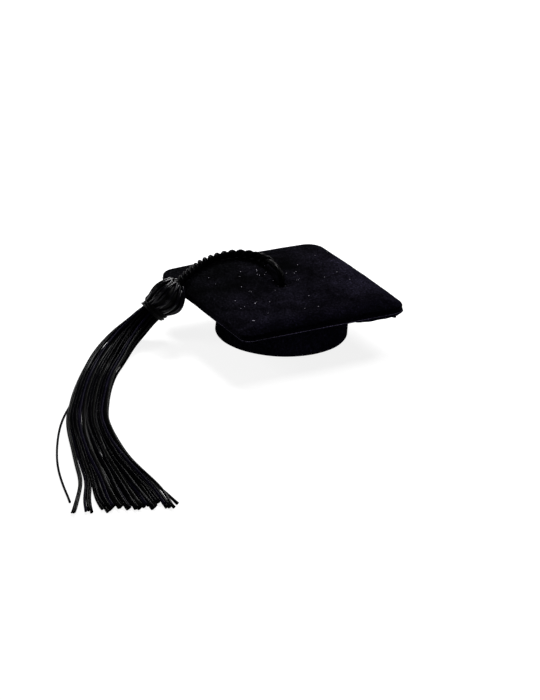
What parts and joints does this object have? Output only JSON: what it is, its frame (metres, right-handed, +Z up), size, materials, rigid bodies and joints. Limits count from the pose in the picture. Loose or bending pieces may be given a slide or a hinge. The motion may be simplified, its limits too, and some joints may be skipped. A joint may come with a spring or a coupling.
{
  "type": "graduation cap",
  "caption": "Miniature mortarboard: velvet covered square board on a short round crown, with a twisted cord across the board and a long loose tassel lying beside it.",
  "frame": {"origin": "centre of the crown's rim, on the surface that the cap stands on", "axes": "+Z up through the middle of the board, X and Y along the board's edges; the tassel leaves over the -Y edge"},
  "size_m": [0.147, 0.1691, 0.0246],
  "materials": {
    "card": "plain greyboard",
    "wadding": "thin polyester wadding",
    "velvet": "short pile black velvet with a faint violet sheen",
    "lining": "matte black lining paper",
    "cord": "twisted black rayon cord",
    "tassel": "smooth black rayon strands with a satin sheen"
  },
  "bodies": {
    "cap": {"board_core": "card", "board_wadding": "wadding", "board_cover": "velvet", "corner_folds": "velvet", "underside_panel": "velvet", "crown_band": "card", "crown_cover": "velvet", "crown_lining": "lining"},
    "cord": {"tassel_cord": "cord", "cord_knot": "cord"},
    "tassel": {"tassel_head": "tassel", "neck_binding": "tassel"},
    "skirt": {"strand_01": "tassel", "strand_02": "tassel", "strand_03": "tassel", "strand_04": "tassel", "strand_05": "tassel", "strand_06": "tassel", "strand_07": "tassel", "strand_08": "tassel", "strand_09": "tassel", "strand_10": "tassel", "strand_11": "tassel", "strand_12": "tassel", "strand_13": "tassel", "strand_14": "tassel", "strand_15": "tassel", "strand_16": "tassel", "strand_17": "tassel", "strand_18": "tassel", "strand_19": "tassel", "strand_20": "tassel", "strand_21": "tassel", "strand_22": "tassel", "strand_23": "tassel", "strand_24": "tassel", "strand_25": "tassel", "strand_26": "tassel", "strand_27": "tassel", "strand_28": "tassel", "strand_29": "tassel", "strand_30": "tassel", "strand_31": "tassel", "strand_32": "tassel", "strand_33": "tassel", "strand_34": "tassel", "strand_35": "tassel", "strand_36": "tassel"}
  },
  "joints": [
    {"name": "cord_turn", "type": "hinge", "parent": "cap", "child": "cord", "pos_m": [0, 0, 0.0196], "axis": [0, 0, 1], "range_deg": [0, 22]},
    {"name": "tassel_lift", "type": "hinge", "parent": "cord", "child": "tassel", "pos_m": [-0.0136, -0.0374, 0.02], "axis": [-0.82, -0.5724, 0], "range_deg": [0, 45]},
    {"name": "skirt_sway", "type": "hinge", "parent": "tassel", "child": "skirt", "pos_m": [-0.01625, -0.0464, 0.0097], "axis": [0, 0, 1], "range_deg": [-10, 10]}
  ]
}
